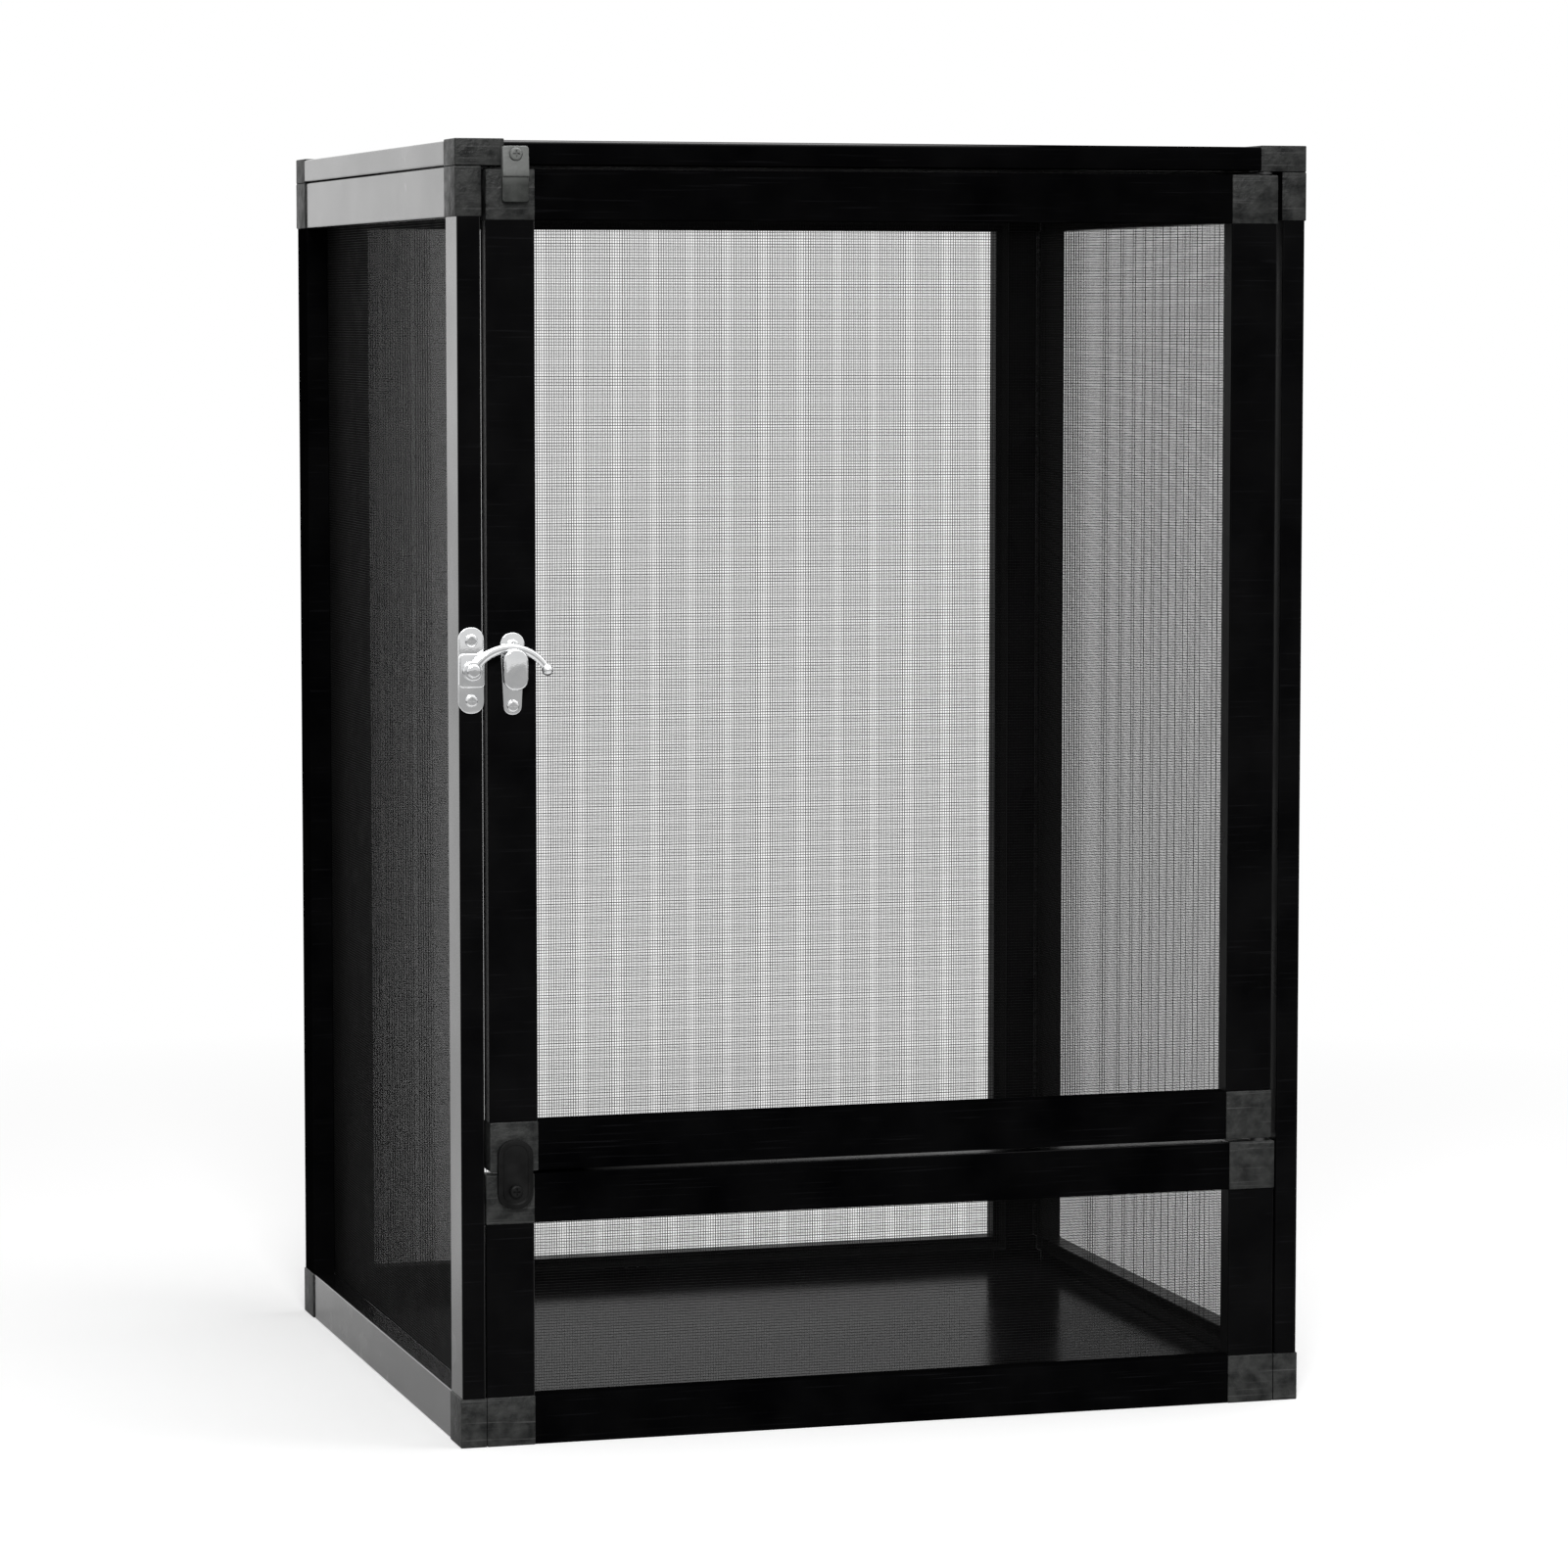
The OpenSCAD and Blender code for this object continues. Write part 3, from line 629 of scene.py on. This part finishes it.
def makeHookPlate():
    low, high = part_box("hook_plate")
    middle = (low.z + high.z) / 2
    half = latch["bossHeight"] / 2
    base = roundedPlate("plateBase", (low.x, high.y - latch["plateThick"], low.z), high,
                        (high.x - low.x) * latch["endShare"], latch["soft"])
    boss = roundedPlate("plateBoss", (low.x, low.y, middle - half),
                        (high.x, high.y - latch["plateThick"] / 2, middle + half),
                        latch["bossCorner"], latch["bossSoft"])
    dress(fusePieces([base, boss], "latch_plate"), "chrome", "cage", "hook_plate")


def makeHook():
    low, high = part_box("hook")
    depth = (low.y + high.y) / 2
    pivot = Vector((low.x + latch["eye"] / 2, depth, low.z + latch["eye"] / 2))
    spread = math.radians(latch["halfAngle"])
    centre = pivot + Vector((math.sin(spread), 0, -math.cos(spread))) * latch["bowRadius"]
    clearSelection()
    bpy.ops.mesh.primitive_torus_add(location=centre, rotation=(math.pi / 2, 0, 0),
                                     major_segments=latch["bowSteps"], minor_segments=latch["barSides"],
                                     major_radius=latch["bowRadius"], minor_radius=latch["bar"] / 2)
    bow = settle(bpy.context.object, "hookBow")
    bpy.ops.object.mode_set(mode="EDIT")
    bpy.ops.mesh.select_all(action="SELECT")
    bpy.ops.transform.resize(value=(1, latch["barThick"] / latch["bar"], 1), center_override=centre)
    for side in (1, -1):  # cut the ring to the part between pivot and tip
        bpy.ops.mesh.select_all(action="SELECT")
        bpy.ops.mesh.bisect(plane_co=centre, plane_no=(side * math.cos(spread), 0, math.sin(spread)),
                            clear_inner=True, use_fill=True)
    bpy.ops.object.mode_set(mode="OBJECT")
    for point in bow.data.vertices:  # the bar thins towards its tip
        arm = point.co - centre
        angle = math.atan2(arm.x, arm.z)
        onLine = centre + Vector((math.sin(angle), 0, math.cos(angle))) * latch["bowRadius"]
        point.co = onLine + (point.co - onLine) * (1 - latch["taper"] * angle / spread)
    halfThick = Vector((0, latch["barThick"] / 2, 0))
    eye = startRod("hookEye", pivot - halfThick, pivot + halfThick, latch["eye"] / 2, roundSides)
    softenEdges(eye, latch["eyeSoft"])
    tip = Vector((2 * centre.x - pivot.x, depth, pivot.z))
    clearSelection()
    bpy.ops.mesh.primitive_uv_sphere_add(segments=latch["ballSides"], ring_count=latch["ballRings"],
                                         radius=latch["ball"] / 2, location=tip)
    ball = settle(bpy.context.object, "hookBall")
    hook = fusePieces([bow, eye, ball], "latch_hook", latch["hookCrease"])
    dress(hook, "chrome", "hook", "hook")


def makeRivet():
    low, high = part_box("hook_rivet")
    middle = (low + high) / 2
    headBack = low.y + latch["rivetHead"]
    head = domedHead("rivetHead", middle, low.y, headBack, (high.x - low.x) / 2, latch["rivetDome"])
    shank = startRod("rivetShank", (middle.x, headBack - latch["rivetLap"], middle.z),
                     (middle.x, high.y, middle.z), latch["rivetShank"] / 2, latch["rivetSides"])
    dress(fusePieces([head, shank], "latch_rivet"), "chrome", "cage", "hook_rivet")


def makeKeeperPlate():  # round at the top, narrower and round at the foot
    low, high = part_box("keeper_plate")
    middle = (low + high) / 2
    width = high.x - low.x
    plate = startBox("keeperPlate", low, high)
    bpy.ops.object.mode_set(mode="EDIT")
    bpy.ops.mesh.select_mode(type="VERT")
    bpy.ops.mesh.select_all(action="DESELECT")
    work = bmesh.from_edit_mesh(plate.data)
    for point in work.verts:
        point.select_set(point.co.z < middle.z)
    work.select_flush_mode()
    bmesh.update_edit_mesh(plate.data)
    bpy.ops.transform.resize(value=(latch["keeperLow"] / width, 1, 1), center_override=middle)
    bpy.ops.object.mode_set(mode="OBJECT")

    def headCorner(spot, direction):
        return runsAlong(direction, 1) and spot.z > middle.z

    def footCorner(spot, direction):
        return runsAlong(direction, 1) and spot.z < low.z + near

    bevelWhere(plate, headCorner, width * latch["endShare"], endSteps)
    bevelWhere(plate, footCorner, latch["keeperLow"] * latch["endShare"], endSteps)
    softenEdges(plate, latch["soft"], limit=latch["keeperCrease"])
    dress(settle(plate, "keeper_base"), "chrome", "door", "keeper_plate")


def makeKeeperStud():
    low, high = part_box("keeper_stud")
    width = high.x - low.x
    neckX, neckZ = (low.x + high.x) / 2, high.z - width / 2
    headBack = low.y + latch["studHead"]
    head = roundedPlate("studHead", low, (high.x, headBack, high.z), width * latch["endShare"], latch["studSoft"])
    neck = startRod("studNeck", (neckX, headBack - latch["neckLap"], neckZ), (neckX, high.y, neckZ),
                    latch["neck"] / 2, latch["neckSides"])
    dress(fusePieces([head, neck], "keeper_knob"), "chrome", "door", "keeper_stud")


makeHookPlate()
makeHook()
makeRivet()
makeKeeperPlate()
makeKeeperStud()
print("latch modelled")


# screws: pan heads with a cross recess

screw = {
    "headRadius": 3.2 * mm, "headHeight": 1.6 * mm, "dome": 1.1 * mm,
    "shank": 3 * mm, "shankSides": 16, "shankLap": 0.3 * mm,
    "crossLength": 3.6 * mm, "crossWidth": 0.8 * mm, "crossDepth": 0.9 * mm,
}


def makeScrews(node, finish, name):  # one screw, or an upper and a lower one
    low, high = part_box(node)
    x = (low.x + high.x) / 2
    heights = sorted({round(low.z + screw["headRadius"], 5), round(high.z - screw["headRadius"], 5)})
    place = Vector((x, 0, heights[0]))
    seat = low.y + screw["headHeight"]
    head = domedHead("screwHead", place, low.y, seat, screw["headRadius"], screw["dome"])
    long, narrow = screw["crossLength"] / 2, screw["crossWidth"] / 2
    for across, up in ((long, narrow), (narrow, long)):
        cutWith(head, startBox("crossArm", (x - across, low.y - overshoot, place.z - up),
                               (x + across, low.y + screw["crossDepth"], place.z + up)))
    shank = startRod("screwShank", (x, seat - screw["shankLap"], place.z), (x, high.y, place.z),
                     screw["shank"] / 2, screw["shankSides"])
    screws = [fusePieces([head, shank], name)]
    for height in heights[1:]:
        makeActive(screws[0])
        bpy.ops.object.duplicate(linked=False)
        bpy.ops.transform.translate(value=(0, 0, height - heights[0]))
        screws.append(settle(bpy.context.object, name + "Copy"))
    body = "door" if node.startswith("keeper") else "cage"
    dress(joinPieces(screws, name), finish, body, node)


makeScrews("hook_plate_screws", "chrome", "plate_screws")
makeScrews("keeper_screws", "chrome", "keeper_plate_screws")
makeScrews("top_button_screw", "topButton", "top_pivot_screw")
makeScrews("lower_button_screw", "lowButton", "lower_pivot_screw")
print("screws modelled")


# turn buttons: the upper one has a sloped grip, the lower one a dished face

button = {
    "thick": 3 * mm, "grip": 15 * mm, "land": 1 * mm, "corner": 1.5 * mm, "soft": 0.35 * mm,
    "headGap": 0.3 * mm, "slopeSlack": 0.001 * mm,  # slack that the slope's cut allows
    "endShare": 0.45, "rim": 2.4 * mm, "dish": 0.5 * mm, "dishSoft": 0.15 * mm, "dishSteps": 2,
    "front": 0.9,  # least forward normal of the front face
}


def makeTopButton():
    low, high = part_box("top_turn_button")
    armFront = high.y - button["thick"]
    gripFoot = high.z - button["grip"]
    slopeFoot = gripFoot + button["land"]
    piece = startBox("top_button", low, high)
    bevelWhere(piece, alongDepth, button["corner"], cornerSteps)
    makeActive(piece)
    bpy.ops.object.mode_set(mode="EDIT")
    bpy.ops.mesh.select_all(action="SELECT")
    outward = Vector((0, slopeFoot - high.z, armFront - low.y)).normalized()
    bpy.ops.mesh.bisect(plane_co=(low.x, low.y, slopeFoot), plane_no=outward, clear_outer=True, use_fill=True,
                        threshold=button["slopeSlack"])  # the grip slopes back to the arm
    bpy.ops.mesh.select_all(action="SELECT")
    bpy.ops.mesh.normals_make_consistent(inside=False)
    bpy.ops.object.mode_set(mode="OBJECT")
    cutWith(piece, startBox("underGrip", (low.x - overshoot, low.y - overshoot, low.z - overshoot),
                            (high.x + overshoot, armFront, gripFoot)))
    cleanMesh(piece)
    softenEdges(piece, button["soft"])
    screwLow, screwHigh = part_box("top_button_screw")
    pivot = (screwLow + screwHigh) / 2
    cutWith(piece, startRod("headPocket", (pivot.x, low.y - overshoot, pivot.z), (pivot.x, armFront, pivot.z),
                            screw["headRadius"] + button["headGap"], roundSides))
    cleanMesh(piece)
    smoothShade(piece)
    dress(piece, "topButton", "top_button", "top_turn_button")


def makeLowerButton():
    low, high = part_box("lower_turn_button")
    piece = startBox("lower_button", low, high)
    bevelWhere(piece, alongDepth, (high.x - low.x) * button["endShare"], endSteps)
    makeActive(piece)
    bpy.ops.object.mode_set(mode="EDIT")
    bpy.ops.mesh.select_mode(type="FACE")
    bpy.ops.mesh.select_all(action="DESELECT")
    work = bmesh.from_edit_mesh(piece.data)
    for face in work.faces:
        face.select_set(face.normal.y < -button["front"])
    bmesh.update_edit_mesh(piece.data)
    bpy.ops.mesh.inset(thickness=button["rim"], depth=0)
    bpy.ops.mesh.inset(thickness=button["dish"], depth=-button["dish"])
    bpy.ops.object.mode_set(mode="OBJECT")
    softenEdges(piece, button["dishSoft"], button["dishSteps"])
    dress(piece, "lowButton", "lower_button", "lower_turn_button")


makeTopButton()
makeLowerButton()
print("turn buttons modelled")


# stage, light and camera

stage = {
    "floorSize": 30.0, "rough": 0.9, "paper": 0.8, "glow": 0.37,  # lit paper near the cage, with a little glow
    "near": 0.5, "far": 1.4,  # between these distances the paper turns into plain white
    "behind": (0.0, 1.5), "farGlow": 0.9, "before": (-0.9, -0.4), "frontGlow": 0.4,  # what reflections see
}


def makeStage():  # paper floor: keeps the cage's shadow, and is white to the camera further out
    clearSelection()
    bpy.ops.mesh.primitive_plane_add(size=stage["floorSize"], location=(0, 0, 0))
    floor = settle(bpy.context.object, "studioFloor")
    paper = bpy.data.materials.new("paperFloor")
    paper.use_nodes = True
    tree = paper.node_tree
    shader = tree.nodes["Principled BSDF"]
    shader.inputs["Roughness"].default_value = stage["rough"]
    shader.inputs["Specular IOR Level"].default_value = 0.0
    shader.inputs["Emission Color"].default_value = (1, 1, 1, 1)
    light = tree.nodes.new("ShaderNodeLightPath")
    place = objectPlace(tree)
    depth = splitNode(tree, place)["Y"]
    behind = rampNode(tree, depth, *stage["behind"], 0.0, stage["farGlow"])
    before = rampNode(tree, depth, *stage["before"], stage["frontGlow"], 0.0)
    reach = tree.nodes.new("ShaderNodeVectorMath")
    reach.operation = "LENGTH"
    tree.links.new(place, reach.inputs[0])
    distance = reach.outputs["Value"]
    glow = rampNode(tree, distance, stage["near"], stage["far"], stage["glow"], 1.0)
    colour = rampNode(tree, distance, stage["near"], stage["far"], stage["paper"], 0.0)
    tree.links.new(colour, shader.inputs["Base Color"])
    toCamera = mathNode(tree, "MULTIPLY", light.outputs["Is Camera Ray"], glow)
    toMirror = mathNode(tree, "MULTIPLY", mirrorRay(tree, light), mathNode(tree, "ADD", behind, before))
    tree.links.new(mathNode(tree, "ADD", toCamera, toMirror), shader.inputs["Emission Strength"])
    floor.data.materials.append(paper)


room = {
    "front": 0.75, "back": 1.25, "turn": (-0.2, 0.6),  # strength in reflections, and where it changes
    "ceiling": 2.0, "overhead": (0.45, 0.8), "fill": 0.3,
}


def makeWorld():  # white to the camera, and in reflections brighter behind the cage and overhead
    world = bpy.data.worlds.new("studio")
    bpy.context.scene.world = world
    world.use_nodes = True
    tree = world.node_tree
    background = tree.nodes["Background"]
    background.inputs["Color"].default_value = (1, 1, 1, 1)
    way = splitNode(tree, tree.nodes.new("ShaderNodeTexCoord").outputs["Generated"])
    around = rampNode(tree, way["Y"], *room["turn"], room["front"], room["back"])
    ceiling = rampNode(tree, way["Z"], *room["overhead"], 0.0, room["ceiling"])
    light = tree.nodes.new("ShaderNodeLightPath")
    mirrored = mirrorRay(tree, light)
    fill = mathNode(tree, "MULTIPLY", mathNode(tree, "SUBTRACT", 1.0, mirrored), room["fill"])
    mirror = mathNode(tree, "MULTIPLY", mirrored, mathNode(tree, "ADD", around, ceiling))
    strength = mathNode(tree, "ADD", mirror, fill)
    seen = mathNode(tree, "MAXIMUM", strength, light.outputs["Is Camera Ray"])
    tree.links.new(seen, background.inputs["Strength"])


lamps = {
    "keyBox": {"place": (-0.75, -2.6, 1.9), "aim": (0, 0, 0.35), "size": 0.8, "power": 60},
    "topBox": {"place": (0.3, -0.1, 2.3), "aim": (0, 0, 0.3), "size": 0.9, "power": 20},
    "sideBox": {"place": (1.9, -1.2, 1.6), "aim": (0, 0, 0.35), "size": 0.8, "power": 3},
}


def softbox(name, place, aim, size, power):
    clearSelection()
    bpy.ops.object.light_add(type="AREA", location=place)
    lamp = bpy.context.object
    lamp.name = name
    lamp.data.size = size
    lamp.data.energy = power
    lamp.rotation_euler = (Vector(aim) - Vector(place)).to_track_quat("-Z", "Y").to_euler()


view = {  # fitted to the cage's outline in the photo
    "place": (-0.8278, -2.8331, 0.5671), "yaw": 16.337, "pitch": 4.9075,
    "focal": 5554.36, "imageSide": 1601.0, "sensor": 36.0, "clipEnd": 100.0,
}


def makeCamera():
    clearSelection()
    bpy.ops.object.camera_add(location=view["place"])
    camera = bpy.context.object
    camera.name = "photoCamera"
    camera.data.sensor_width = view["sensor"]
    camera.data.lens = view["sensor"] * view["focal"] / view["imageSide"]
    camera.data.clip_end = view["clipEnd"]
    camera.rotation_euler = (math.radians(90 - view["pitch"]), 0, -math.radians(view["yaw"]))
    bpy.context.scene.camera = camera


makeStage()
makeWorld()
for lampName, lamp in lamps.items():
    softbox(lampName, **lamp)
makeCamera()
bpy.context.scene.view_settings.view_transform = "Standard"
print("stage, lights and camera set")
